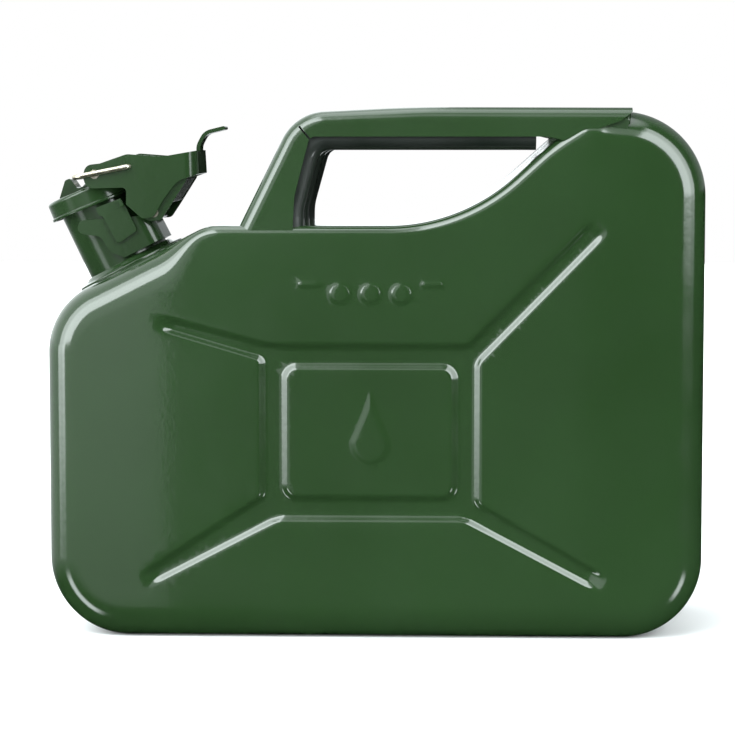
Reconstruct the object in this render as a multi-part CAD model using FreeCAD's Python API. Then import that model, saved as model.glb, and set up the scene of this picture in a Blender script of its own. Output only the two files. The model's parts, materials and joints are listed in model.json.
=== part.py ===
import FreeCAD, Part
import math
import os

# A pressed-steel fuel jerry can, 10 litre size. Millimetres, +Z up.
# X runs along the can (spout end is -X), Y across it, and the origin is the
# middle of the footprint on the ground.

V = FreeCAD.Vector
UP_Y = V(0, 1, 0)

# ---- driving dimensions of the body ----
HALF_LENGTH = 172.5
HALF_WIDTH = 65.0
SHEET = 1.0
EDGE_ROUND = 18.0
LEDGE_Z = 217.8
HUMP_Z = 277.0
HUMP_SLOPE = 42.0
SHOULDER_SLOPE = 27.0
SHOULDER_X = -87.0
PRESS_DEPTH = 2.6
SEAM_DEPTH = 4.0
SEAM_HALF = 8.0

# ---- driving dimensions of the three handles ----
HANDLE_PITCH = 52.0
HANDLE_HALF = 12.0
HANDLE_SHEET = 1.5
HANDLE_ROUND = 7.0
STRIP_SHEET = 1.3
STRIP_ROUND = 6.0
HANDLE_TOP = 279.3
HANDLE_END_X = 133.3

# ---- driving dimensions of the neck and its closure ----
NECK_TOP = (-151.1, 227.7)
NECK_R_TOP = 22.0
NECK_R_FOOT = 23.0
NECK_WALL = 1.4
CAP_TILT = 22.0
CAP_BASE = (-152.5, 228.0)
CAP_R = 25.5
CAP_WALL = 1.2
CAP_TOP = 9.2
MOUTH = 3.8
PIVOT = (-150.3, 243.9)
PIVOT_R = 2.4
HINGE = (-119.0, 223.5)
HINGE_R = 2.5
RUNNING = 0.05
BAIL_HOLE = (-131.9, 248.1)
BAIL_BAR = (-161.1, 242.2)
WIRE_R = 1.4
BRACKET_IN = 23.0
BRACKET_OUT = 24.8
FLANGE_IN = 25.6
FLANGE_OUT = 27.0
CHEEK_IN = 27.2
CHEEK_OUT = 29.0


# ---------------------------------------------------------------- helpers
def tan_deg(angle):
    return math.tan(math.radians(angle))


def corner_arc(before, corner, after, radius):
    """Start, middle and end of the arc that rounds one corner of an outline."""
    to_before = (before - corner).normalize()
    to_after = (after - corner).normalize()
    half = to_before.getAngle(to_after) / 2
    reach = radius / math.tan(half)
    bisector = (to_before + to_after).normalize()
    centre = corner + bisector * (radius / math.sin(half))
    start = corner + to_before * reach
    end = corner + to_after * reach
    return start, centre - bisector * radius, end


def outline(corners, y=0.0):
    """Closed wire in the XZ plane from (x, z, corner radius) triples."""
    points = [V(x, y, z) for x, z, _ in corners]
    edges = []
    first = None
    last = None
    for i, corner in enumerate(corners):
        point = points[i]
        if corner[2] > 0:
            following = points[(i + 1) % len(points)]
            start, middle, end = corner_arc(points[i - 1], point, following, corner[2])
        else:
            start, middle, end = point, None, point
        if last is not None and (start - last).Length > 1e-6:
            edges.append(Part.makeLine(last, start))
        if middle is not None:
            edges.append(Part.Arc(start, middle, end).toShape())
        if first is None:
            first = start
        last = end
    if (first - last).Length > 1e-6:
        edges.append(Part.makeLine(last, first))
    return Part.Wire(edges)


def plate(corners, y0, y1):
    """Flat plate with an XZ outline, between two Y positions."""
    return Part.Face(outline(corners, y0)).extrude(V(0, y1 - y0, 0))


def both_sides(shape):
    return shape.fuse(shape.mirror(V(0, 0, 0), UP_Y))


def inset(corners, t):
    """The same outline moved inwards by t; t below 0 moves it outwards."""
    area = 0.0
    for i, c in enumerate(corners):
        n = corners[(i + 1) % len(corners)]
        area += c[0] * n[1] - n[0] * c[1]
    turn = 1.0 if area > 0 else -1.0
    result = []
    for i, (x, z, r) in enumerate(corners):
        p = corners[i - 1]
        n = corners[(i + 1) % len(corners)]
        a = V(x - p[0], 0, z - p[1]).normalize()
        b = V(n[0] - x, 0, n[1] - z).normalize()
        normal_a = V(-a.z, 0, a.x) * turn
        normal_b = V(-b.z, 0, b.x) * turn
        shift = (normal_a + normal_b) * (t / (1 + normal_a.dot(normal_b)))
        convex = (a.x * b.z - a.z * b.x) * turn > 0
        new_r = r - t if convex else r + t
        result.append((x + shift.x, z + shift.z, max(new_r, 0.0) if r > 0 else 0.0))
    return result


def tilted(origin, tilt, along, out, y=0.0):
    """Point at (rearwards, outwards) in a frame leaning forwards by tilt."""
    s = math.sin(math.radians(tilt))
    c = math.cos(math.radians(tilt))
    return V(origin[0] + along * c - out * s, y, origin[1] + along * s + out * c)


def axis_of(tilt):
    return V(-math.sin(math.radians(tilt)), 0, math.cos(math.radians(tilt)))


def cap_point(along, out):
    p = tilted(CAP_BASE, CAP_TILT, along, out)
    return (p.x, p.z)


def neck_disc(radius, low, high, tilt, origin):
    """Cylinder on a leaning axis, between two heights along it."""
    base = tilted(origin, tilt, 0, low)
    return Part.makeCylinder(radius, high - low, base, axis_of(tilt))


def cross_rod(centre, radius, y0, y1):
    return Part.makeCylinder(radius, y1 - y0, V(centre[0], y0, centre[1]), UP_Y)


# ------------------------------------------------------------------- body
def body_corners():
    front_z = LEDGE_Z + (-HALF_LENGTH - SHOULDER_X) * tan_deg(SHOULDER_SLOPE)
    slope_foot = 44.6
    slope_top = slope_foot + (HUMP_Z - LEDGE_Z) / tan_deg(HUMP_SLOPE)
    return [
        (-HALF_LENGTH, 0.0, 42.0),
        (HALF_LENGTH, 0.0, 42.0),
        (HALF_LENGTH, HUMP_Z, 44.0),
        (slope_top, HUMP_Z, 24.0),
        (slope_foot, LEDGE_Z, 98.0),
        (SHOULDER_X, LEDGE_Z, 25.0),
        (-HALF_LENGTH, front_z, 38.0),
    ]


def half_block(t):
    """Solid left half of the can, inset by t, with its outer edge rounded."""
    y = -HALF_WIDTH + t
    block = plate(inset(body_corners(), t), y, 0.0)
    rim = [e for e in block.Edges if abs(e.BoundBox.YMax - y) < 1e-4]
    return block.makeFillet(EDGE_ROUND - t, rim)


def seam_ring(t):
    """Channel round the front, bottom and back where the halves meet."""
    corners = body_corners()
    ring = plate(inset(corners, -20), -SEAM_HALF - t, 0.5)
    ring = ring.cut(plate(inset(corners, SEAM_DEPTH + t), -SEAM_HALF - t - 1, 1.0))
    return ring.cut(Part.makeBox(360, 60, 200, V(-210, -40, 150)))


def sloped_recess(corners, depth, t, wall=2.4):
    """Pressed recess with sloping walls, seen from the broad face."""
    face_y = -HALF_WIDTH - 0.4 + t
    floor_y = -HALF_WIDTH + depth + t
    grow = 0.45 * t
    rim = outline(inset(corners, -0.35 - grow), face_y)
    floor = outline(inset(corners, wall - grow), floor_y)
    return Part.makeLoft([rim, floor], True, True)


def box_corners(x0, x1, z0, z1, radius):
    return [(x0, z0, radius), (x1, z0, radius), (x1, z1, radius), (x0, z1, radius)]


def centre_panel(t):
    """Raised centre panel left standing inside the square groove."""
    foot_y = -HALF_WIDTH + PRESS_DEPTH + t + 0.3
    face_y = -HALF_WIDTH + t - 0.4
    grow = 0.45 * t
    foot = box_corners(-53.0 + grow, 49.0 - grow, 68.1 + grow, 147.7 - grow, 8.5)
    head = box_corners(-50.3 + grow, 46.3 - grow, 70.8 + grow, 145.0 - grow, 6.0)
    return Part.makeLoft([outline(foot, foot_y), outline(head, face_y)], True, True)


def arm_groove(near, far, near_half, far_half, t):
    """Groove from a corner of the panel that runs out shallow at its far end."""
    a = V(near[0], 0, near[1])
    b = V(far[0], 0, far[1])
    along = (b - a).normalize()
    side = V(-along.z, 0, along.x)
    face_y = -HALF_WIDTH - 0.4 + t
    floor_y = -HALF_WIDTH + PRESS_DEPTH + t
    grow = 0.45 * t
    wall = 2.4
    rim = []
    floor = []
    for end, half, run_out in ((a, near_half, 0.0), (b, far_half, -9.0)):
        for sign in (1, -1):
            p = end + side * (half + 0.35 + grow) * sign
            q = end + side * (half - wall + grow) * sign + along * run_out
            rim.append(V(p.x, face_y, p.z))
            floor.append(V(q.x, floor_y, q.z))
    order = (0, 1, 3, 2, 0)
    rim_wire = Part.makePolygon([rim[i] for i in order])
    floor_wire = Part.makePolygon([floor[i] for i in order])
    return Part.makeLoft([rim_wire, floor_wire], True, True)


def face_pressing(t):
    """Square groove round the panel with its four diagonal arms."""
    rim = box_corners(-60.3, 56.8, 60.2, 156.2, 9.0)
    tool = sloped_recess(rim, PRESS_DEPTH, t).cut(centre_panel(t))
    arms = [
        ((-54.5, 149.2), (-108.0, 164.5), 5.4, 4.4),
        ((51.0, 151.2), (112.0, 208.5), 5.4, 6.4),
        ((-55.8, 68.0), (-118.5, 29.5), 5.4, 5.6),
        ((52.5, 68.2), (118.0, 28.5), 5.4, 5.6),
    ]
    for near, far, near_half, far_half in arms:
        groove = arm_groove(near, far, near_half, far_half, t)
        tool = tool.fuse(groove.cut(centre_panel(t)))
    return tool


def left_body_shell():
    outside = half_block(0.0).cut(seam_ring(0.0)).cut(face_pressing(0.0))
    cavity = half_block(SHEET).cut(seam_ring(SHEET)).cut(face_pressing(SHEET))
    shell = outside.cut(cavity)
    bore = neck_disc(20.9, -60, 10, SHOULDER_SLOPE, NECK_TOP)
    return shell.cut(bore)


def seam_weld():
    """Crimped, welded edge standing proud in the bottom of the seam channel."""
    corners = body_corners()
    bead = plate(inset(corners, 1.2), -1.3, 1.3)
    bead = bead.cut(plate(inset(corners, SEAM_DEPTH - 0.01), -3, 3))
    return bead.cut(Part.makeBox(362, 60, 200, V(-210, -30, 149)))


# ---------------------------------------------------------------- handles
def channel_corners():
    return [
        (-79.3, 200.0, 0.0),
        (-41.3, 276.3, 26.0),
        (20.0, HANDLE_TOP - 0.1, 500.0),
        (HANDLE_END_X, HANDLE_TOP - 0.4, 0.0),
        (HANDLE_END_X, 276.8, 0.0),
        (127.0, 272.0, 3.0),
        (98.0, 262.0, 1.0),
        (90.0, 264.0, 6.0),
        (-33.5, 264.0, 4.0),
        (-41.5, 233.0, 20.0),
        (-43.2, 200.0, 0.0),
    ]


def channel_void():
    """Hollow of a handle pressing, open below and to the rear of its leg."""
    t = HANDLE_SHEET
    return [
        (-79.3 - 2.5 + t * 1.12, 195.0, 0.0),
        (-41.3 + t * 0.69, 276.3 - t, 26.0 - t),
        (20.0, HANDLE_TOP - 0.1 - t, 500.0),
        (150.0, HANDLE_TOP - 0.5 - t, 0.0),
        (150.0, 240.0, 0.0),
        (-20.0, 240.0, 0.0),
        (-20.0, 195.0, 0.0),
    ]


def mitre_slit():
    return [(-39.4, 269.0, 0.0), (-38.6, 269.7, 0.0), (-32.4, 262.3, 0.0), (-33.2, 261.6, 0.0)]


def path_edges(solid, half):
    """Side edges along the front of the leg, the bend and the back of a handle."""
    chosen = []
    for edge in solid.Edges:
        box = edge.BoundBox
        flat = box.YLength < 1e-6 and abs(abs(box.YMin) - half) < 1e-6
        on_back = box.ZMin > 270.0 and box.XLength > 12
        on_leg = box.XMax < -44.0 and box.ZLength > 30
        at_bend = box.ZMin > 256.0 and box.XMax < -20.0 and box.ZMax > 270.0
        if flat and (on_back or on_leg or at_bend):
            chosen.append(edge)
    return chosen


def handle_channel():
    """Outer pressing of a handle: U section, open underneath."""
    solid = plate(channel_corners(), -HANDLE_HALF, HANDLE_HALF)
    solid = solid.makeFillet(HANDLE_ROUND, path_edges(solid, HANDLE_HALF))
    inner = HANDLE_HALF - HANDLE_SHEET
    hollow = plate(channel_void(), -inner, inner)
    hollow = hollow.makeFillet(HANDLE_ROUND - HANDLE_SHEET, path_edges(hollow, inner))
    slit = plate(mitre_slit(), -HANDLE_HALF - 1, HANDLE_HALF + 1)
    return solid.cut(hollow).cut(slit)


def grip_edges(solid, half):
    """Side edges along the rear of the leg and the underside of the grip."""
    chosen = []
    for edge in solid.Edges:
        box = edge.BoundBox
        flat = box.YLength < 1e-6 and abs(abs(box.YMin) - half) < 1e-6
        under = box.ZMax < 261.0 and box.XMin > -38.0
        if flat and under and box.ZLength + box.XLength > 3:
            chosen.append(edge)
    return chosen


def handle_strip():
    """Inner pressing with rolled edges that closes the handle under the hand."""
    half = HANDLE_HALF - HANDLE_SHEET - 0.2
    corners = [
        (-37.3, 200.0, 0.0),
        (-37.0, 226.0, 30.0),
        (-28.4, 257.0, 7.0),
        (83.7, 257.0, 0.0),
        (83.7, 267.0, 0.0),
        (-35.6, 267.0, 3.0),
        (-46.5, 230.0, 20.0),
        (-47.7, 200.0, 0.0),
    ]
    wall = STRIP_SHEET
    void = [
        (-37.3 - wall, 195.0, 0.0),
        (-37.0 - wall, 226.3, 30.0 + wall),
        (-28.4 - 0.75 * wall, 257.0 + wall, 7.0 + wall),
        (90.0, 257.0 + wall, 0.0),
        (90.0, 275.0, 0.0),
        (-60.0, 275.0, 0.0),
        (-60.0, 195.0, 0.0),
    ]
    solid = plate(corners, -half, half)
    solid = solid.makeFillet(STRIP_ROUND, grip_edges(solid, half))
    hollow = plate(void, -half + wall, half - wall)
    hollow = hollow.makeFillet(STRIP_ROUND - wall, grip_edges(hollow, half - wall))
    return solid.cut(hollow)


def placed_handle(shape, y, body):
    """Move a handle part across the can and trim it to the body's surface."""
    moved = shape.copy()
    moved.translate(V(0, y, 0))
    trimmed = moved.cut(body)
    biggest = sorted(trimmed.Solids, key=lambda s: s.Volume)[-1]
    return biggest


# ------------------------------------------------------------------- neck
def shoulder_block():
    """Everything below the plane of the sloping shoulder."""
    base = V(SHOULDER_X, 0, LEDGE_Z)
    box = Part.makeBox(300, 200, 120, V(-200, -100, -120))
    box.rotate(V(0, 0, 0), UP_Y, -SHOULDER_SLOPE)
    box.translate(base)
    return box


def revolve_profile(points, origin, tilt):
    """Turn a closed (radius, height) profile about a leaning axis."""
    wire = Part.makePolygon([V(r, 0, h) for r, h in points + [points[0]]])
    solid = Part.Face(wire).revolve(V(0, 0, 0), V(0, 0, 1), 360)
    solid.rotate(V(0, 0, 0), UP_Y, -tilt)
    solid.translate(V(origin[0], 0, origin[1]))
    return solid


def above_mouth():
    base = tilted(CAP_BASE, CAP_TILT, 0, MOUTH - 1.6)
    tool = Part.makeCylinder(60, 60, V(0, 0, 0), V(0, 0, 1))
    tool.rotate(V(0, 0, 0), UP_Y, -CAP_TILT)
    tool.translate(base)
    return tool


def filler_neck():
    """Slightly flared tube with its top edge rolled inwards."""
    top, foot = 14.0, -45.0
    flare = (NECK_R_FOOT - NECK_R_TOP) / 38.0
    r_top = NECK_R_TOP - 0.15
    r_foot = r_top + 45.0 * flare
    profile = [
        (r_top - NECK_WALL, top),
        (r_top, top),
        (r_top, 0.0),
        (r_foot, foot),
        (r_foot - NECK_WALL, foot),
        (r_top - NECK_WALL, 0.0),
    ]
    tube = revolve_profile(profile, NECK_TOP, SHOULDER_SLOPE)
    tube = tube.cut(above_mouth()).cut(shoulder_block())
    lip = Part.makeTorus(NECK_R_TOP - 1.6, 1.6, V(0, 0, 0), V(0, 0, 1))
    lip.rotate(V(0, 0, 0), UP_Y, -CAP_TILT)
    centre = tilted(CAP_BASE, CAP_TILT, 0.3, MOUTH - 1.6)
    lip.translate(centre)
    return tube.fuse(lip)


def neck_collar():
    """Dished flange that carries the neck on the shoulder."""
    profile = [(23.2, -41.0), (23.2, -33.9), (24.4, -33.9), (26.4, -35.8), (30.6, -36.6), (31.2, -41.0)]
    ring = revolve_profile(profile, NECK_TOP, SHOULDER_SLOPE)
    return ring.cut(shoulder_block())


def breather_pipe():
    """Air pipe along the rear wall of the neck, down into the can."""
    base = tilted(NECK_TOP, SHOULDER_SLOPE, 15.3, -82.0)
    direction = axis_of(SHOULDER_SLOPE)
    pipe = Part.makeCylinder(5.0, 78.0, base, direction)
    bore = Part.makeCylinder(4.0, 80.0, base - direction, direction)
    return pipe.cut(bore)


def u_section(y_out, bend):
    """Rounded U wrapped round the back of the neck, as a tall solid."""
    pts = [(-60.0, -y_out), (y_out, -y_out), (y_out, y_out), (-60.0, y_out)]
    wire = Part.makePolygon([V(x, y, -60) for x, y in pts + [pts[0]]])
    block = Part.Face(wire).extrude(V(0, 0, 100))
    backs = [
        e for e in block.Edges
        if e.BoundBox.ZLength > 90 and e.BoundBox.XMin > y_out - 1e-3
    ]
    block = block.makeFillet(bend, backs)
    block.rotate(V(0, 0, 0), UP_Y, -SHOULDER_SLOPE)
    block.translate(V(NECK_TOP[0], 0, NECK_TOP[1]))
    return block


def hinge_bracket():
    """Strap round the rear of the neck with tongues and a pin knuckle."""
    side = [
        (-158.8, 219.2, 3.2),
        (-160.9, 212.4, 3.2),
        (-147.6, 210.6, 5.0),
        (-142.6, 202.4, 4.0),
        (-135.0, 199.4, 1.5),
        (-109.0, 212.6, 0.0),
        (-114.5, 224.0, 0.0),
        (-125.0, 221.8, 2.0),
    ]
    strap = u_section(BRACKET_OUT, 8.0).cut(u_section(BRACKET_IN, 6.2))
    strap = strap.common(plate(side, -40, 40))
    knuckle = cross_rod(HINGE, 4.0, -21.0, 21.0)
    strap = strap.fuse(knuckle).cut(cross_rod(HINGE, HINGE_R, -40, 40))
    tube_core = neck_disc(23.0, -50, 20, SHOULDER_SLOPE, NECK_TOP)
    return strap.cut(tube_core)


def locking_lug():
    """Catch plate on the bracket's side with an ear bent outwards."""
    body = [
        (-150.2, 225.9, 0.6),
        (-148.6, 222.2, 0.6),
        (-146.3, 221.6, 0.6),
        (-138.4, 206.8, 1.5),
        (-127.8, 214.0, 1.5),
        (-134.1, 227.0, 1.0),
        (-136.7, 231.2, 0.6),
    ]
    ear = [(-137.9, 230.2, 0.5), (-136.3, 226.5, 0.5), (-134.5, 227.3, 0.5), (-136.6, 231.0, 0.5)]
    left = plate(body, -26.4, -BRACKET_OUT - 0.01)
    return left.fuse(plate(ear, -28.8, -26.3))


# ---------------------------------------------------------------- closure
def cap_pan():
    inner = CAP_R - CAP_WALL
    pan = neck_disc(CAP_R, -1.0, CAP_TOP, CAP_TILT, CAP_BASE)
    top = [e for e in pan.Edges if e.Length > 100 and e.CenterOfMass.z > CAP_BASE[1] + 6]
    pan = pan.makeFillet(2.0, top)
    hollow = neck_disc(inner, -2.0, CAP_TOP - CAP_WALL, CAP_TILT, CAP_BASE)
    foot = neck_disc(CAP_R + 0.7, -1.0, 0.4, CAP_TILT, CAP_BASE)
    pan = pan.fuse(foot).cut(hollow)
    return pan.cut(rivet_shanks())


def cap_gasket():
    ring = neck_disc(23.9, MOUTH + 0.03, CAP_TOP - CAP_WALL, CAP_TILT, CAP_BASE)
    return ring.cut(neck_disc(18.2, 0, 20, CAP_TILT, CAP_BASE))


def gasket_retainer():
    dish = neck_disc(18.15, 4.3, 5.6, CAP_TILT, CAP_BASE)
    wall = neck_disc(18.15, 5.5, CAP_TOP - CAP_WALL, CAP_TILT, CAP_BASE)
    wall = wall.cut(neck_disc(16.9, 0, 20, CAP_TILT, CAP_BASE))
    return dish.fuse(wall)


def rivet_places():
    return [(-1.0, 0.0), (14.3, -4.0), (14.3, 4.0)]


def rivet_shanks():
    shanks = None
    for along, y in rivet_places():
        base = tilted(CAP_BASE, CAP_TILT, along, CAP_TOP - CAP_WALL - 0.9, y)
        rod = Part.makeCylinder(1.5, 1.8 + CAP_WALL + 0.9, base, axis_of(CAP_TILT))
        shanks = rod if shanks is None else shanks.fuse(rod)
    return shanks


def bridge_rivets():
    """Three round-headed rivets holding the bridge to the cap."""
    rivets = rivet_shanks()
    for along, y in rivet_places():
        base = tilted(CAP_BASE, CAP_TILT, along, CAP_TOP + 1.8, y)
        dome = Part.makeSphere(4.2, tilted(CAP_BASE, CAP_TILT, along, CAP_TOP - 0.9, y))
        head = dome.common(Part.makeCylinder(4.0, 5.0, base, axis_of(CAP_TILT)))
        tail = tilted(CAP_BASE, CAP_TILT, along, CAP_TOP - CAP_WALL - 1.1, y)
        foot = Part.makeCylinder(1.9, 1.1, tail, axis_of(CAP_TILT))
        rivets = rivets.fuse(head).fuse(foot)
    return rivets


def bridge_flange_corners():
    return [
        (-155.6, 239.4, 4.6),
        (-156.6, 248.6, 4.6),
        (-128.0, 252.0, 8.0),
        (-103.5, 246.8, 2.5),
        (-100.7, 241.8, 1.0),
        (-109.8, 227.4, 2.0),
        (-115.0, 219.6, 3.0),
        (-124.2, 218.8, 4.5),
        (-127.4, 238.8, 6.0),
    ]


def cap_bridge():
    """Arm from the cap back to the hinge, with the hooked nose in front."""
    flange = plate(bridge_flange_corners(), -FLANGE_OUT, -FLANGE_IN)
    arm = both_sides(flange)
    web = []
    for along, out in ((3.0, CAP_TOP), (30.0, CAP_TOP), (30.0, 11.0), (3.0, 11.0)):
        x, z = cap_point(along, out)
        web.append((x, z, 0.0))
    tongue = []
    profile = (
        (-17.5, CAP_TOP, 0.5),
        (6.0, CAP_TOP, 0.0),
        (6.0, 11.0, 0.0),
        (-6.0, 11.0, 1.5),
        (-7.6, 17.6, 1.2),
        (-10.6, 17.6, 1.6),
    )
    for along, out, radius in profile:
        x, z = cap_point(along, out)
        tongue.append((x, z, radius))
    cover = [(-129.5, 246.6, 0.0), (-128.2, 252.0, 1.0), (-103.5, 246.8, 2.5)]
    cover += [(-100.9, 241.8, 0.8), (-109.0, 229.0, 0.5), (-110.2, 229.7, 0.4)]
    cover += [(-102.5, 242.0, 0.6), (-104.4, 245.6, 1.5), (-127.4, 250.2, 0.0), (-128.4, 246.9, 0.0)]
    arm = arm.fuse(plate(web, -FLANGE_IN - 0.1, FLANGE_IN + 0.1))
    arm = arm.fuse(plate(tongue, -9.0, 9.0))
    arm = arm.fuse(plate(cover, -FLANGE_IN - 0.1, FLANGE_IN + 0.1))
    arm = arm.cut(cross_rod(PIVOT, PIVOT_R, -40, 40))
    arm = arm.cut(cross_rod(HINGE, HINGE_R + RUNNING, -40, 40))
    return arm.cut(rivet_shanks())


def lever_corners():
    return [
        (-154.6, 236.4, 5.0),
        (-157.4, 246.2, 5.0),
        (-132.9, 254.7, 7.0),
        (-114.4, 253.3, 20.0),
        (-95.6, 256.6, 0.0),
        (-94.9, 244.2, 0.0),
        (-106.0, 240.4, 10.0),
        (-113.6, 230.4, 20.0),
        (-118.6, 221.4, 2.0),
        (-124.7, 220.2, 3.0),
        (-133.4, 228.0, 1.2),
        (-133.2, 236.9, 2.4),
    ]


def cam_lever():
    """Cam lever: two cheeks, a plate across their tails and a thumb tab."""
    solid = plate(lever_corners(), -CHEEK_OUT, CHEEK_OUT)
    tail = [
        e for e in solid.Edges
        if e.BoundBox.XMin > -96.0 and e.BoundBox.ZLength > 10 and e.BoundBox.YLength < 1e-6
    ]
    solid = solid.makeFillet(6.8, tail)
    hollow = [
        (-175.0, 200.0, 0.0),
        (-175.0, 270.0, 0.0),
        (-97.5, 270.0, 0.0),
        (-96.6, 240.0, 0.0),
        (-96.6, 200.0, 0.0),
    ]
    inner = plate(hollow, -CHEEK_IN, CHEEK_IN)
    backs = [e for e in inner.Edges if e.BoundBox.XMin > -98 and e.BoundBox.ZLength > 25]
    inner = inner.makeFillet(5.0, [e for e in backs if e.BoundBox.YLength < 1e-6])
    tab = [
        (-97.6, 250.0, 0.0),
        (-97.6, 259.4, 8.0),
        (-93.6, 267.0, 8.0),
        (-82.3, 269.8, 0.9),
        (-81.8, 267.8, 0.9),
        (-92.4, 265.2, 6.0),
        (-95.6, 259.0, 6.0),
        (-95.3, 250.0, 0.0),
    ]
    lever = solid.cut(inner).fuse(plate(tab, -9.0, 9.0))
    lever = lever.cut(cross_rod(PIVOT, PIVOT_R + RUNNING, -40, 40))
    return lever.cut(cross_rod(BAIL_HOLE, WIRE_R + RUNNING, -40, 40))


def safety_bail():
    """Wire loop: ends turned in through the cheeks, bar behind the nose."""
    y = CHEEK_OUT + WIRE_R + 0.2
    a = V(BAIL_HOLE[0], -y, BAIL_HOLE[1])
    b = V(BAIL_BAR[0], -y, BAIL_BAR[1])
    inside = V(BAIL_HOLE[0], -CHEEK_IN + 0.1, BAIL_HOLE[1])
    middle = V(BAIL_BAR[0], 0, BAIL_BAR[1])
    bend = 2.2
    path = []
    s1, m1, e1 = corner_arc(inside, a, b, 1.5)
    s2, m2, e2 = corner_arc(a, b, middle, bend * 2)
    path.append(Part.makeLine(inside, s1))
    path.append(Part.Arc(s1, m1, e1).toShape())
    path.append(Part.makeLine(e1, s2))
    path.append(Part.Arc(s2, m2, e2).toShape())
    path.append(Part.makeLine(e2, middle))
    section = Part.Wire(Part.makeCircle(WIRE_R, inside, V(0, -1, 0)))
    half = Part.Wire(path).makePipeShell([section], True, False, 2)
    return both_sides(half).removeSplitter()


# ------------------------------------------------------------------ build
def build():
    left = left_body_shell()
    right = left.mirror(V(0, 0, 0), UP_Y)
    body = both_sides(half_block(0.0))
    channel = handle_channel()
    strip = handle_strip()
    lug = locking_lug()
    nodes = {
        "left_body_shell": left,
        "right_body_shell": right,
        "seam_weld": seam_weld(),
        "filler_neck": filler_neck(),
        "neck_collar": neck_collar(),
        "breather_pipe": breather_pipe(),
        "hinge_bracket": hinge_bracket(),
        "left_locking_lug": lug,
        "right_locking_lug": lug.mirror(V(0, 0, 0), UP_Y),
        "hinge_pin": cross_rod(HINGE, HINGE_R, -27.1, 27.1),
        "cap_pan": cap_pan(),
        "cap_gasket": cap_gasket(),
        "gasket_retainer": gasket_retainer(),
        "cap_bridge": cap_bridge(),
        "bridge_rivets": bridge_rivets(),
        "pivot_pin": cross_rod(PIVOT, PIVOT_R, -CHEEK_OUT, CHEEK_OUT),
        "cam_lever": cam_lever(),
        "safety_bail": safety_bail(),
    }
    for name, y in (("left", -HANDLE_PITCH), ("centre", 0.0), ("right", HANDLE_PITCH)):
        nodes[name + "_handle_channel"] = placed_handle(channel, y, body)
        nodes[name + "_handle_strip"] = placed_handle(strip, y, body)
    return nodes


os.makedirs("parts", exist_ok=True)
for node, shape in build().items():
    if len(shape.Solids) == 1:
        shape = shape.Solids[0]
    print(node, shape.ShapeType, len(shape.Solids), shape.isValid(), round(shape.Volume, 1))
    shape.exportStep("parts/" + node + ".step")
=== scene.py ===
"""Looks for the pressed-steel jerry can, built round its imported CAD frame."""
import json
import math

import bmesh
import bpy
import numpy as np
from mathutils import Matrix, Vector
from mathutils.geometry import delaunay_2d_cdt

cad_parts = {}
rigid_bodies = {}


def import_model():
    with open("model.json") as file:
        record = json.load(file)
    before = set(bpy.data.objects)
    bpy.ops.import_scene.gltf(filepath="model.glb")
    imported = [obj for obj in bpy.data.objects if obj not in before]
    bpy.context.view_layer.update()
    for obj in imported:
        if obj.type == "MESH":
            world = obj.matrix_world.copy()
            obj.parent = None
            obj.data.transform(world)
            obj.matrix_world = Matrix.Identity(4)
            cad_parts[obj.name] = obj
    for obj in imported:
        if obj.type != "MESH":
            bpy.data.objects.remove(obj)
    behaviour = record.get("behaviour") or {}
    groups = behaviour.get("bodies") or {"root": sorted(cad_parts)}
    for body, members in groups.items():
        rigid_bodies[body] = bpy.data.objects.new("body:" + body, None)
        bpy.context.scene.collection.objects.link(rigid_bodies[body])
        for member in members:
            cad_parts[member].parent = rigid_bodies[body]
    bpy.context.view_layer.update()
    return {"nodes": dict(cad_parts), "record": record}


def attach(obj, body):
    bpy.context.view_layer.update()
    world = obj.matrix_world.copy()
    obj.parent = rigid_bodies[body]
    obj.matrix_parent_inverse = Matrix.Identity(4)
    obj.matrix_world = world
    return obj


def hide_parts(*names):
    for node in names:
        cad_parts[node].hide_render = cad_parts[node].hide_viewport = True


MM = 0.001

# ---- body shape, millimetres, the same driving sizes as the CAD ----
HALF_LENGTH = 172.5
HALF_WIDTH = 65.0
EDGE_ROUND = 18.0
TOP_ROUND = 5.5
LEDGE_Z = 217.8
HUMP_Z = 277.0
SHOULDER_X = -87.0
SHOULDER_TAN = math.tan(math.radians(27.0))
HUMP_TAN = math.tan(math.radians(42.0))
SHEET = 1.0
SEAM_DEPTH = 4.0
SEAM_HALF = 8.0
PRESS_DEPTH = 2.6
WALL = 4.3
ARM_WALL = 3.7
ARM_DEPTH = 0.87
NECK_TOP = np.array([-151.1, 227.7])
NECK_TILT = math.radians(27.0)
NECK_HOLE = 21.9
WELD_REACH = 62.3

# ---- shell mesh ----
OUTLINE_STEP = 2.2
EDGE_SEGMENTS = 14
COARSE_STEP = 5.0
FINE_STEP = 0.95

# ---- light, as emission strengths ----
SOFTBOX = 8.0
OUTER_DIM = 0.35
TOP_PANEL = 1.1
LOW_STRIPS = 7.0
LEFT_WALL = 1.35
DIM_WALL = 0.12
OVERHEAD = 2.4
BEHIND = 0.35

# ---- camera, metres, degrees and millimetres of lens ----
CAMERA_PLACE = (0.0394, -1.400, 0.2637)
CAMERA_PITCH = 84.890
CAMERA_TURN = 1.838
CAMERA_LENS = 126.2

# ---- enamel colours, linear ----
GREEN_DEEP = (0.0096, 0.0243, 0.0072)
GREEN_LIGHT = (0.0118, 0.0295, 0.0092)
# near-black handle-strip colours: painted shade, the green enamel darkened to stand for
# the shadow on the strips
STRIP_SHADE_DEEP = (0.003, 0.006, 0.0035)
STRIP_SHADE_LIGHT = (0.004, 0.008, 0.005)


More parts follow.
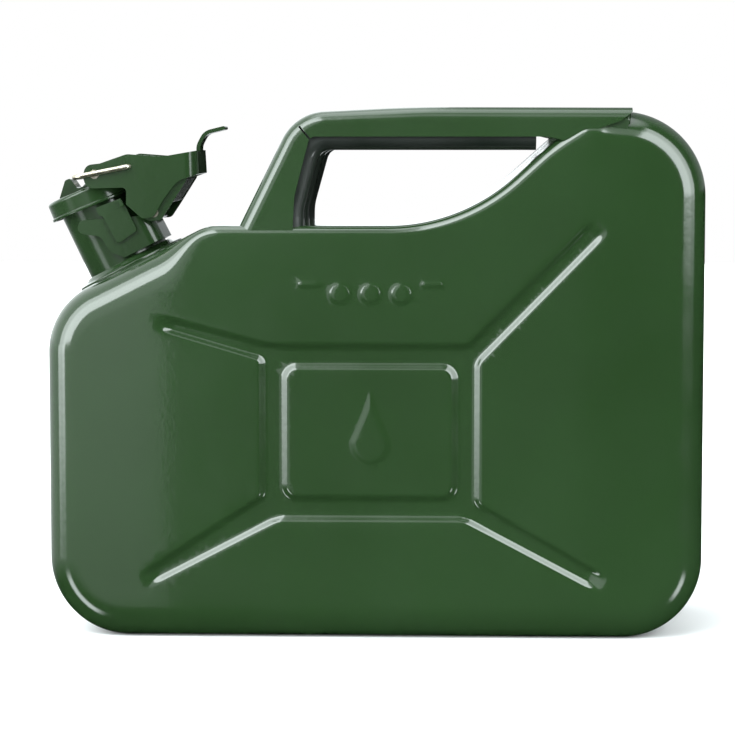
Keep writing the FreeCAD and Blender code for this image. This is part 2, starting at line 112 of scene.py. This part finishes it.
# ------------------------------------------------------------- outline maths
def body_corners():
    """(x, z, radius) corners of the can seen from its broad side."""
    front_z = LEDGE_Z + (-HALF_LENGTH - SHOULDER_X) * SHOULDER_TAN
    slope_foot = 44.6
    slope_top = slope_foot + (HUMP_Z - LEDGE_Z) / HUMP_TAN
    return [
        (-HALF_LENGTH, 0.0, 42.0),
        (HALF_LENGTH, 0.0, 42.0),
        (HALF_LENGTH, HUMP_Z, 44.0),
        (slope_top, HUMP_Z, 24.0),
        (slope_foot, LEDGE_Z, 98.0),
        (SHOULDER_X, LEDGE_Z, 25.0),
        (-HALF_LENGTH, front_z, 38.0),
    ]


def corner_arcs(corners):
    """(start, end, centre, radius) of the arc at each corner."""
    count = len(corners)
    arcs = []
    for i in range(count):
        p = np.array(corners[i - 1][:2])
        c = np.array(corners[i][:2])
        n = np.array(corners[(i + 1) % count][:2])
        u = (p - c) / np.linalg.norm(p - c)
        v = (n - c) / np.linalg.norm(n - c)
        half = math.acos(np.clip(u @ v, -1, 1)) / 2
        radius = corners[i][2]
        reach = radius / math.tan(half)
        middle = (u + v) / np.linalg.norm(u + v)
        centre = c + middle * radius / math.sin(half)
        arcs.append((c + u * reach, c + v * reach, centre, radius))
    return arcs


def rounded_outline(corners, step):
    """Points along a rounded outline with their outward normals, evenly spaced."""
    pieces = []
    arcs = corner_arcs(corners)
    for i, (start, end, centre, radius) in enumerate(arcs):
        a0 = math.atan2(*(start - centre)[::-1])
        a1 = math.atan2(*(end - centre)[::-1])
        sweep = (a1 - a0 + math.pi) % (2 * math.pi) - math.pi
        side = 1.0 if sweep > 0 else -1.0
        steps = max(4, int(abs(sweep) * radius / step))
        for k in range(steps):
            a = a0 + sweep * k / steps
            out = np.array([math.cos(a), math.sin(a)])
            pieces.append((centre + out * radius, out * side))
        following = arcs[(i + 1) % len(arcs)][0]
        length = np.linalg.norm(following - end)
        along = (following - end) / max(length, 1e-9)
        normal = np.array([along[1], -along[0]])
        steps = max(1, int(length / step))
        for k in range(steps):
            pieces.append((end + along * length * k / steps, normal))
    points = np.array([p for p, _ in pieces])
    normals = np.array([n for _, n in pieces])
    return points, normals


def smooth(t):
    t = np.clip(t, 0.0, 1.0)
    return t * t * (3 - 2 * t)


def wall_share(t):
    """Like smooth(), but straight over most of its run, as a pressed wall is."""
    t = np.clip(t, 0.0, 1.0)
    e = 0.16
    low = t * t / (2 * e)
    high = 1 - e - (1 - t) ** 2 / (2 * e)
    share = np.where(t < e, low, np.where(t > 1 - e, high, t - e / 2))
    return share / (1 - e)


def box_distance(x, z, centre, half, radius):
    """Signed distance to a rounded rectangle, below 0 inside it."""
    qx = np.abs(x - centre[0]) - (half[0] - radius)
    qz = np.abs(z - centre[1]) - (half[1] - radius)
    outside = np.hypot(np.maximum(qx, 0), np.maximum(qz, 0))
    return outside + np.minimum(np.maximum(qx, qz), 0) - radius


ARMS = [
    ((-54.5, 151.4), (-115.0, 168.2), 5.7, 4.8),
    ((51.0, 150.7), (118.5, 219.5), 6.4, 6.2),
    ((-55.5, 69.8), (-122.5, 30.5), 8.7, 4.8),
    ((52.2, 67.6), (121.5, 29.5), 6.9, 5.6),
]


def arm_share(x, z, arm):
    """0 to 1 depth share of one diagonal groove."""
    (ax, az), (bx, bz), near_half, far_half = arm
    length = math.hypot(bx - ax, bz - az)
    ux, uz = (bx - ax) / length, (bz - az) / length
    t = (x - ax) * ux + (z - az) * uz
    off = np.abs((z - az) * ux - (x - ax) * uz)
    half = near_half + (far_half - near_half) * np.clip(t / length, 0, 1)
    across = wall_share((half - off) / ARM_WALL)
    start = smooth((t + 7.0) / 4.0)
    fade = smooth((length - t) / 11.0)
    shallow = 1 - (1 - ARM_DEPTH) * smooth((t - 2.0) / 14.0)
    return across * start * fade * shallow


def press_depth(x, z):
    """How far the broad face is pressed in at (x, z)."""
    outer = box_distance(x, z, (-2.45, 109.85), (58.15, 47.45), 8.0)
    inner = box_distance(x, z, (-2.45, 110.0), (42.35, 32.5), 4.5)
    off_panel = wall_share(inner / WALL)
    rest = 1 - wall_share(-outer / WALL) * off_panel
    for arm in ARMS:
        rest = rest * (1 - arm_share(x, z, arm) * off_panel)
    return PRESS_DEPTH * (1 - rest)


def marks(x, z):
    """Plain raised marks: a droplet on the panel, dots and dashes above it."""
    dz = z - 105.0
    width = 10.5 * np.sqrt(np.clip(1 - (dz / 11.0) ** 2, 0, 1))
    upper = np.clip((28.0 - dz) / 28.0, 0, 1) ** 1.25 * 10.5
    width = np.where(dz > 0, upper, width)
    drop = smooth((width - np.abs(x + 2.0)) / 3.4 + 0.2) * (dz > -11.2) * (dz < 28.0)
    raised = 0.6 * drop
    for cx in (-34.0, 30.0):
        dash = box_distance(x, z, (cx, 187.5), (5.5, 1.6), 1.5)
        raised = np.maximum(raised, 0.7 * smooth(-dash / 1.6 + 0.35))
    for cx in (-18.0, -2.0, 14.0):
        dot = np.hypot(x - cx, z - 182.5) - 6.2
        raised = np.maximum(raised, 0.9 * smooth(-dot / 3.2 + 0.1))
    return raised


def face_y(x, z):
    """Y of the left broad face: pressed, marked and bowed towards its ends."""
    bow = 0.00045 * np.maximum(0, np.abs(x) - 100.0) ** 2
    return -HALF_WIDTH + bow + press_depth(x, z) - marks(x, z)


def edge_radius(points, normals):
    """Rounding of the broad face's border: small under the handles, else full."""
    upper = smooth((normals[:, 1] - 0.2) / 0.4)
    behind_spout = smooth((points[:, 0] + 118.0) / 26.0)
    before_hump = smooth((133.0 - points[:, 0]) / 48.0)
    return EDGE_ROUND - (EDGE_ROUND - TOP_ROUND) * upper * behind_spout * before_hump


# -------------------------------------------------------------- mesh helpers
def new_mesh(name, verts, faces, smooth_shade=True):
    mesh = bpy.data.meshes.new(name)
    mesh.from_pydata([tuple(v) for v in verts], [], [tuple(f) for f in faces])
    mesh.update()
    if smooth_shade:
        mesh.polygons.foreach_set("use_smooth", [True] * len(mesh.polygons))
    obj = bpy.data.objects.new(name, mesh)
    bpy.context.scene.collection.objects.link(obj)
    return obj


def add_modifier(obj, kind, **settings):
    mod = obj.modifiers.new(kind.lower(), kind)
    for key, value in settings.items():
        setattr(mod, key, value)
    return mod


def relief(x, z):
    """Depth of the broad face at (x, z), pressings and marks together."""
    return press_depth(x, z) - marks(x, z)


def lattice(step, keep_fine):
    """Staggered grid points, kept only on the relief or only off it."""
    xs = np.arange(-160, 162, step)
    zs = np.arange(8, 268, step)
    gx, gz = np.meshgrid(xs, zs)
    gx = gx + (np.arange(len(zs))[:, None] % 2) * step / 2
    gx, gz = gx.ravel(), gz.ravel()
    reach = 1.3
    here = relief(gx, gz)
    bend = np.zeros_like(here)
    for dx, dz in ((reach, 0), (-reach, 0), (0, reach), (0, -reach)):
        bend = np.maximum(bend, np.abs(relief(gx + dx, gz + dz) - here))
    fine = bend > 0.03
    keep = fine if keep_fine else ~fine
    return np.stack([gx[keep], gz[keep]], 1)


def inside_ring(points, ring):
    """True for the points that lie inside a closed ring."""
    inside = np.zeros(len(points), bool)
    for (x0, z0), (x1, z1) in zip(ring, np.roll(ring, -1, 0)):
        if abs(z1 - z0) < 1e-9:
            continue
        crosses = (z0 > points[:, 1]) != (z1 > points[:, 1])
        at = x0 + (points[:, 1] - z0) * (x1 - x0) / (z1 - z0)
        inside ^= crosses & (points[:, 0] < at)
    return inside


def gap_to_ring(points, ring):
    """Distance from each point to the nearest ring point."""
    gap = np.full(len(points), 1e9)
    for start in range(0, len(ring), 40):
        part = ring[None, start:start + 40]
        d = np.hypot(points[:, 0, None] - part[..., 0], points[:, 1, None] - part[..., 1])
        gap = np.minimum(gap, d.min(1))
    return gap


def face_points(ring):
    """Points for the broad face: coarse where flat, fine on the pressings."""
    points = np.concatenate([lattice(COARSE_STEP, False), lattice(FINE_STEP, True)])
    points = points[inside_ring(points, ring)]
    return points[gap_to_ring(points, ring) > 1.6]


def flat_face(outline, normals, radius):
    """The broad face's vertices and triangles, and the indices of its border."""
    count = len(outline)
    inner = outline - normals * radius[:, None]
    flat = np.concatenate([inner, face_points(inner)])
    edges = [(i, (i + 1) % count) for i in range(count)]
    made = delaunay_2d_cdt([Vector(p) for p in flat], edges, [], 1, 1e-5)
    flat = np.array([(v.x, v.y) for v in made[0]])
    verts = np.stack([flat[:, 0], face_y(flat[:, 0], flat[:, 1]), flat[:, 1]], 1)
    border = [0] * count
    for index, sources in enumerate(made[3]):
        if sources and sources[0] < count:
            border[sources[0]] = index
    return verts, [tuple(f) for f in made[2]], border


def rim_steps(outline, radius, rim_y):
    """(inset, y) of each ring of points from the face's border to the seam."""
    count = len(outline)
    recess = smooth((150.0 - outline[:, 1]) / 6.0)
    recess = np.maximum(recess, smooth((outline[:, 0] - 150.0) / 6.0))
    centre_y = radius - HALF_WIDTH
    steps = []
    for k in range(1, EDGE_SEGMENTS + 1):
        a = math.pi / 2 * k / EDGE_SEGMENTS
        y = centre_y + (rim_y - centre_y) * math.cos(a)
        steps.append((radius * (1 - math.sin(a)), y))
    for y in (-40.0, -28.0, -18.0, -SEAM_HALF - 1.6):
        steps.append((np.zeros(count), np.full(count, y)))
    for share, y in ((0.06, 0.9), (0.3, 0.1), (0.7, -0.5), (0.94, -1.3)):
        steps.append((SEAM_DEPTH * share * recess, np.full(count, -SEAM_HALF - y)))
    for y in (-5.0, -1.4, 0.0):
        steps.append((SEAM_DEPTH * recess, np.full(count, y)))
    return steps


def shell_arrays():
    """Vertices and faces of the left half shell's outer skin, millimetres."""
    outline, normals = rounded_outline(body_corners(), OUTLINE_STEP)
    count = len(outline)
    radius = edge_radius(outline, normals)
    verts, faces, border = flat_face(outline, normals, radius)
    rings = [border]
    blocks = [verts]
    total = len(verts)
    for inset, y in rim_steps(outline, radius, verts[border, 1]):
        ring = outline - normals * inset[:, None]
        blocks.append(np.stack([ring[:, 0], y, ring[:, 1]], 1))
        rings.append([total + i for i in range(count)])
        total += count
    for a, b in zip(rings, rings[1:]):
        for i in range(count):
            j = (i + 1) % count
            faces.append((a[i], b[i], b[j], a[j]))
    return np.concatenate(blocks), faces


def cut_neck_hole(verts, faces):
    """Drop the faces inside the neck's bore; the neck covers their edge."""
    axis = np.array([-math.sin(NECK_TILT), math.cos(NECK_TILT)])
    rel = verts[:, [0, 2]] - NECK_TOP
    along = rel @ axis
    off = rel - along[:, None] * axis
    radius = np.sqrt(off[:, 0] ** 2 + off[:, 1] ** 2 + verts[:, 1] ** 2)
    near = (along > -60) & (along < 10)
    inside = near & (radius < NECK_HOLE)
    return [f for f in faces if not all(inside[i] for i in f)]


def face_outwards(obj, sign):
    """Drop loose vertices and turn the skin's faces away from the can."""
    mesh = bmesh.new()
    mesh.from_mesh(obj.data)
    loose = [v for v in mesh.verts if not v.link_faces]
    bmesh.ops.delete(mesh, geom=loose, context="VERTS")
    bmesh.ops.recalc_face_normals(mesh, faces=mesh.faces)
    centre_face = min(mesh.faces, key=lambda f: f.calc_center_median().y * sign)
    if centre_face.normal.y * sign > 0:
        bmesh.ops.reverse_faces(mesh, faces=mesh.faces)
    mesh.to_mesh(obj.data)
    mesh.free()


def make_shells(material):
    """The two pressed half shells, standing for the CAD ones."""
    verts, faces = shell_arrays()
    faces = cut_neck_hole(verts, faces)
    for side, sign in (("left", 1.0), ("right", -1.0)):
        placed = verts * np.array([1.0, sign, 1.0]) * MM
        turned = faces if sign > 0 else [f[::-1] for f in faces]
        obj = new_mesh(side + "_shell_skin", placed, turned)
        face_outwards(obj, sign)
        add_modifier(obj, "SOLIDIFY", thickness=SHEET * MM, offset=-1.0)
        obj.data.materials.append(material)
        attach(obj, "can")
        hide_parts(side + "_body_shell")


def weld_section(y):
    """(x, z) section of a handle's end weld, y millimetres from the middle."""
    over = max(0.0, y - (HALF_WIDTH - EDGE_ROUND))
    foot = HUMP_Z - 2.0 - EDGE_ROUND + math.sqrt(EDGE_ROUND ** 2 - over ** 2)
    bend = max(0.0, y - 57.0)
    top = HUMP_Z - 5.5 + math.sqrt(5.5 ** 2 - bend ** 2)
    return [
        (112.0, foot - 4.0),
        (130.5, foot - 0.5),
        (131.8, top - 0.6),
        (131.0, top - 0.1),
        (118.0, top - 1.5),
        (112.0, top - 3.5),
    ]


def loft_faces(rows, count):
    """Faces of a closed loft of rows sections with count points each."""
    last = (rows - 1) * count
    faces = [list(range(count)), list(range(last + count - 1, last - 1, -1))]
    for row in range(rows - 1):
        for k in range(count):
            a = row * count + k
            b = row * count + (k + 1) % count
            faces.append([a, a + count, b + count, b])
    return faces


def make_end_welds(material):
    """Weld fillets that close the outer handles' rear ends over the rounded edge."""
    across = np.linspace(46.0, WELD_REACH, 10)
    for side, sign in (("left", -1.0), ("right", 1.0)):
        sections = [[(x, y * sign, z) for x, z in weld_section(y)] for y in across]
        verts = [np.array(p) * MM for section in sections for p in section]
        faces = loft_faces(len(across), len(sections[0]))
        if sign > 0:
            faces = [f[::-1] for f in faces]
        obj = new_mesh(side + "_handle_end_weld", verts, faces)
        mesh = bmesh.new()
        mesh.from_mesh(obj.data)
        bmesh.ops.recalc_face_normals(mesh, faces=mesh.faces)
        mesh.to_mesh(obj.data)
        mesh.free()
        add_modifier(obj, "BEVEL", width=0.5 * MM, segments=2, limit_method="ANGLE")
        add_modifier(obj, "WEIGHTED_NORMAL", keep_sharp=True)
        obj.data.materials.append(material)
        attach(obj, "can")


# ------------------------------------------------------------------ materials
class Graph:
    """Short hand for adding nodes to one node tree."""

    def __init__(self, tree):
        self.tree = tree
        self.tree.nodes.clear()

    def add(self, kind, **settings):
        node = self.tree.nodes.new(kind)
        for key, value in settings.items():
            setattr(node, key, value)
        return node

    def link(self, a, b):
        self.tree.links.new(a, b)

    def socket(self, value, target):
        if isinstance(value, (float, int)):
            target.default_value = value
        elif isinstance(value, tuple):
            target.default_value = colour(value)
        else:
            self.link(value, target)

    def maths(self, operation, a, b=0.0):
        node = self.add("ShaderNodeMath", operation=operation)
        self.socket(a, node.inputs[0])
        self.socket(b, node.inputs[1])
        return node.outputs[0]

    def step(self, value, start, end):
        """0 below start, 1 above end, smooth between; start may lie above end."""
        node = self.add("ShaderNodeMapRange", interpolation_type="SMOOTHSTEP")
        low, high = min(start, end), max(start, end)
        self.socket(value, node.inputs["Value"])
        node.inputs["From Min"].default_value = low
        node.inputs["From Max"].default_value = high
        node.inputs["To Min"].default_value = 0.0 if start < end else 1.0
        node.inputs["To Max"].default_value = 1.0 if start < end else 0.0
        return node.outputs[0]

    def band(self, value, low, high, soft):
        rise = self.step(value, low - soft, low + soft)
        fall = self.step(value, high + soft, high - soft)
        return self.maths("MULTIPLY", rise, fall)


class Nodes(Graph):
    """Node tree of one principled material in object space."""

    def __init__(self, name):
        self.material = bpy.data.materials.new(name)
        self.material.use_nodes = True
        super().__init__(self.material.node_tree)
        self.output = self.add("ShaderNodeOutputMaterial")
        self.shader = self.add("ShaderNodeBsdfPrincipled")
        self.link(self.shader.outputs[0], self.output.inputs[0])
        self.place = self.add("ShaderNodeTexCoord").outputs["Object"]

    def noise(self, scale, detail=4.0, rough=0.5, source=None):
        node = self.add("ShaderNodeTexNoise")
        node.inputs["Scale"].default_value = scale
        node.inputs["Detail"].default_value = detail
        node.inputs["Roughness"].default_value = rough
        self.link(source or self.place, node.inputs["Vector"])
        return node.outputs[0]

    def ramp(self, source, low, high, at=(0.3, 0.7)):
        node = self.add("ShaderNodeValToRGB")
        node.color_ramp.elements[0].position = at[0]
        node.color_ramp.elements[1].position = at[1]
        node.color_ramp.elements[0].color = colour(low)
        node.color_ramp.elements[1].color = colour(high)
        self.link(source, node.inputs[0])
        return node.outputs[0]

    def mix(self, share, a, b):
        node = self.add("ShaderNodeMix", data_type="RGBA")
        self.socket(share, node.inputs[0])
        self.socket(a, node.inputs[6])
        self.socket(b, node.inputs[7])
        return node.outputs[2]

    def bump(self, height, strength, distance, after=None):
        node = self.add("ShaderNodeBump")
        node.inputs["Strength"].default_value = strength
        node.inputs["Distance"].default_value = distance
        self.link(height, node.inputs["Height"])
        if after is not None:
            self.link(after, node.inputs["Normal"])
        return node.outputs[0]

    def set(self, **values):
        for key, value in values.items():
            self.socket(value, self.shader.inputs[key.replace("_", " ")])


def colour(value):
    if isinstance(value, (float, int)):
        return (value, value, value, 1.0)
    return tuple(value) + (1.0,) if len(value) == 3 else tuple(value)


def enamel(name, deep, light, rough=0.13, peel=0.07, coat=0.55, shine=0.5):
    """Glossy green enamel: faint colour drift, fine flecks and orange peel."""
    n = Nodes(name)
    drift = n.noise(9.0, 3.0)
    grain = n.noise(900.0, 2.0)
    base = n.ramp(drift, deep, light)
    fleck = n.ramp(grain, 0.0, 0.012, (0.45, 0.8))
    base = n.mix(fleck, base, (0.10, 0.16, 0.09))
    peel_high = n.bump(n.noise(330.0, 2.0), peel, 0.00035)
    wave = n.bump(n.noise(17.0, 2.0), 0.06, 0.0012, peel_high)
    smear = n.ramp(n.noise(45.0, 4.0), rough * 0.8, rough * 1.35)
    n.set(Base_Color=base, Roughness=smear, Coat_Weight=coat, Coat_Roughness=0.04)
    n.set(Specular_IOR_Level=shine)
    n.link(wave, n.shader.inputs["Normal"])
    n.link(peel_high, n.shader.inputs["Coat Normal"])
    return n.material


def zinc_wire():
    """Yellow-passivated zinc with drawn scratches and dull patches."""
    n = Nodes("zinc_wire")
    patch = n.noise(260.0, 5.0, 0.6)
    base = n.ramp(patch, (0.40, 0.36, 0.25), (0.66, 0.63, 0.54))
    spots = n.ramp(n.noise(900.0, 3.0), 0.0, 0.6, (0.6, 0.75))
    base = n.mix(spots, base, (0.20, 0.16, 0.10))
    rough = n.ramp(n.noise(420.0, 4.0), 0.22, 0.46)
    n.set(Base_Color=base, Metallic=1.0, Roughness=rough)
    n.link(n.bump(n.noise(1500.0, 2.0), 0.2, 0.0001), n.shader.inputs["Normal"])
    return n.material


def bare_steel():
    """Inner steel with a faint oily film and brushed grain."""
    n = Nodes("bare_steel")
    patch = n.noise(60.0, 4.0)
    base = n.ramp(patch, (0.30, 0.30, 0.29), (0.50, 0.49, 0.46))
    rough = n.ramp(n.noise(300.0, 3.0), 0.28, 0.5)
    n.set(Base_Color=base, Metallic=1.0, Roughness=rough)
    n.link(n.bump(n.noise(1100.0, 2.0), 0.15, 0.0001), n.shader.inputs["Normal"])
    return n.material


def seal_rubber():
    """Dull black moulded rubber with a dusty bloom."""
    n = Nodes("seal_rubber")
    bloom = n.noise(120.0, 5.0, 0.6)
    base = n.ramp(bloom, (0.012, 0.012, 0.012), (0.05, 0.05, 0.048))
    rough = n.ramp(bloom, 0.55, 0.8)
    n.set(Base_Color=base, Roughness=rough)
    n.link(n.bump(n.noise(800.0, 3.0), 0.3, 0.0002), n.shader.inputs["Normal"])
    return n.material


# ------------------------------------------------------------------ CAD nodes
EDGE_WIDTHS = {
    "handle_channel": 0.55,
    "handle_strip": 0.4,
    "cam_lever": 0.5,
    "cap_bridge": 0.45,
}
OTHER_EDGE_WIDTH = 0.3


def dress_nodes(frame, materials):
    """Materials and softened sheet edges for the carried-over CAD nodes."""
    slots = {s["node"]: s["material_slot"] for s in frame["record"]["subparts"]}
    for name, obj in frame["nodes"].items():
        obj.data.materials.clear()
        # the handle strips get the near-black enamel, which paints their shade into the
        # colour
        obj.data.materials.append(materials["strip" if "strip" in name else slots[name]])
        if name.endswith("body_shell"):
            continue
        widths = [w for key, w in EDGE_WIDTHS.items() if key in name]
        width = widths[0] if widths else OTHER_EDGE_WIDTH
        add_modifier(obj, "WELD", merge_threshold=0.00001)
        add_modifier(
            obj,
            "BEVEL",
            width=width * MM,
            segments=2,
            limit_method="ANGLE",
            angle_limit=math.radians(32),
            harden_normals=False,
        )
        add_modifier(obj, "WEIGHTED_NORMAL", keep_sharp=True)
        obj.data.polygons.foreach_set("use_smooth", [True] * len(obj.data.polygons))


# ---------------------------------------------------------------------- stage
def make_stage():
    """A pale floor that the glossy paint doesn't mirror."""
    size = 4.0
    verts = [(-size, -size, 0), (size, -size, 0), (size, size, 0), (-size, size, 0)]
    floor = new_mesh("floor", verts, [(0, 1, 2, 3)], False)
    n = Nodes("pale_floor")
    tone = n.ramp(n.noise(3.0, 2.0), (0.90, 0.90, 0.90), (0.94, 0.94, 0.94))
    n.set(Base_Color=tone, Roughness=0.9, Specular_IOR_Level=0.0)
    floor.data.materials.append(n.material)
    floor.visible_glossy = False


def softboxes(g, tilt, up):
    """Light of the boxes round the camera, by direction.

    `tilt` is the angle from the camera's side (-Y). `up` is the angle round that
    axis from the right (+X) over the top.
    """
    deg = math.radians
    ring = g.band(tilt, deg(38), deg(78), deg(1))
    right = g.maths("MULTIPLY", ring, g.band(up, deg(-1.5), deg(66), deg(3)))
    left = g.maths("MULTIPLY", ring, g.band(up, deg(101), deg(178), deg(2)))
    under = g.step(up, deg(-169), deg(-176))
    over = g.step(up, deg(177), deg(179))
    low_left = g.maths("ADD", under, over)
    low_left = g.maths("MULTIPLY", low_left, g.band(tilt, deg(56), deg(82), deg(2)))
    left = g.maths("ADD", left, low_left)
    dimmed = g.maths("MULTIPLY", g.step(tilt, deg(60), deg(68)), OUTER_DIM)
    power = g.maths("MULTIPLY", g.maths("SUBTRACT", 1.0, dimmed), SOFTBOX)
    light = g.maths("MULTIPLY", g.maths("ADD", left, right), power)
    near_top = g.band(tilt, deg(38), deg(60), deg(3))
    top = g.maths("MULTIPLY", near_top, g.band(up, deg(64), deg(103), deg(2)))
    light = g.maths("ADD", light, g.maths("MULTIPLY", top, TOP_PANEL))
    low_right = g.band(up, deg(-40), deg(-22), deg(5))
    low = g.maths("ADD", low_right, g.band(up, deg(-157), deg(-122), deg(6)))
    strips = g.maths("MULTIPLY", g.band(tilt, deg(52), deg(66), deg(3)), low)
    return g.maths("ADD", light, g.maths("MULTIPLY", strips, LOW_STRIPS))


def room_light(g, y, z, across):
    """Light of the walls beside the camera, the ceiling and the far side."""
    deg = math.radians
    wall = g.maths("MULTIPLY", g.step(across, deg(-6.5), deg(-7.9)), LEFT_WALL)
    dim = g.band(across, deg(-7.2), deg(3.7), deg(0.6))
    wall = g.maths("ADD", wall, g.maths("MULTIPLY", dim, DIM_WALL))
    wall = g.maths("MULTIPLY", wall, g.step(z, -0.45, 0.15))
    overhead = g.maths("MULTIPLY", g.step(z, 0.88, 0.98), OVERHEAD)
    behind = g.maths("MULTIPLY", g.step(y, 0.0, 0.5), g.step(z, 0.005, 0.05))
    light = g.maths("ADD", wall, overhead)
    return g.maths("ADD", light, g.maths("MULTIPLY", behind, BEHIND))


def make_world():
    """Studio light by direction, and plain white where the camera sees past the can."""
    world = bpy.data.worlds.new("studio")
    bpy.context.scene.world = world
    world.use_nodes = True
    g = Graph(world.node_tree)
    place = g.add("ShaderNodeTexCoord")
    split = g.add("ShaderNodeSeparateXYZ")
    g.link(place.outputs["Generated"], split.inputs[0])
    x, y, z = split.outputs
    forward = g.maths("MULTIPLY", y, -1.0)
    boxes = softboxes(g, g.maths("ARCCOSINE", forward), g.maths("ARCTAN2", z, x))
    room = room_light(g, y, z, g.maths("ARCTAN2", x, forward))
    felt = g.add("ShaderNodeBackground")
    felt.inputs[0].default_value = (0.93, 0.99, 1.0, 1)
    g.link(g.maths("ADD", boxes, room), felt.inputs[1])
    seen = g.add("ShaderNodeBackground")
    seen.inputs[0].default_value = (1, 1, 1, 1)
    path = g.add("ShaderNodeLightPath")
    mixer = g.add("ShaderNodeMixShader")
    out = g.add("ShaderNodeOutputWorld")
    g.link(path.outputs["Is Camera Ray"], mixer.inputs[0])
    g.link(felt.outputs[0], mixer.inputs[1])
    g.link(seen.outputs[0], mixer.inputs[2])
    g.link(mixer.outputs[0], out.inputs[0])


def make_camera():
    data = bpy.data.cameras.new("camera")
    cam = bpy.data.objects.new("camera", data)
    bpy.context.scene.collection.objects.link(cam)
    cam.location = CAMERA_PLACE
    cam.rotation_euler = (math.radians(CAMERA_PITCH), 0, math.radians(CAMERA_TURN))
    data.sensor_width = 36.0
    data.lens = CAMERA_LENS
    data.clip_start = 0.01
    data.clip_end = 50.0
    bpy.context.scene.camera = cam


def make_materials():
    """One material for each slot of the record, and a near-black enamel for the handle
    strips that paints in their shade.
    """
    deep, light = GREEN_DEEP, GREEN_LIGHT
    return {
        "body_paint": enamel("body_enamel", deep, light),
        "handle_paint": enamel("handle_enamel", deep, light, rough=0.16),
        "closure_paint": enamel("closure_enamel", deep, light, 0.18, 0.06, 0.2, 0.33),
        "weld_paint": enamel("weld_enamel", deep, light, rough=0.3, peel=0.6),
        "inside_steel": bare_steel(),
        "zinc": zinc_wire(),
        "seal": seal_rubber(),
        # near-black enamel: painted shade on the handle strips, which are green enamel
        # like the handles
        "strip": enamel("strip_painted_shade_enamel", STRIP_SHADE_DEEP, STRIP_SHADE_LIGHT, rough=0.45),
    }


def main():
    for obj in list(bpy.data.objects):
        bpy.data.objects.remove(obj)
    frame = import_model()
    materials = make_materials()
    dress_nodes(frame, materials)
    make_shells(materials["body_paint"])
    make_end_welds(materials["weld_paint"])
    make_stage()
    make_world()
    make_camera()
    bpy.context.scene.view_settings.view_transform = "Standard"


main()
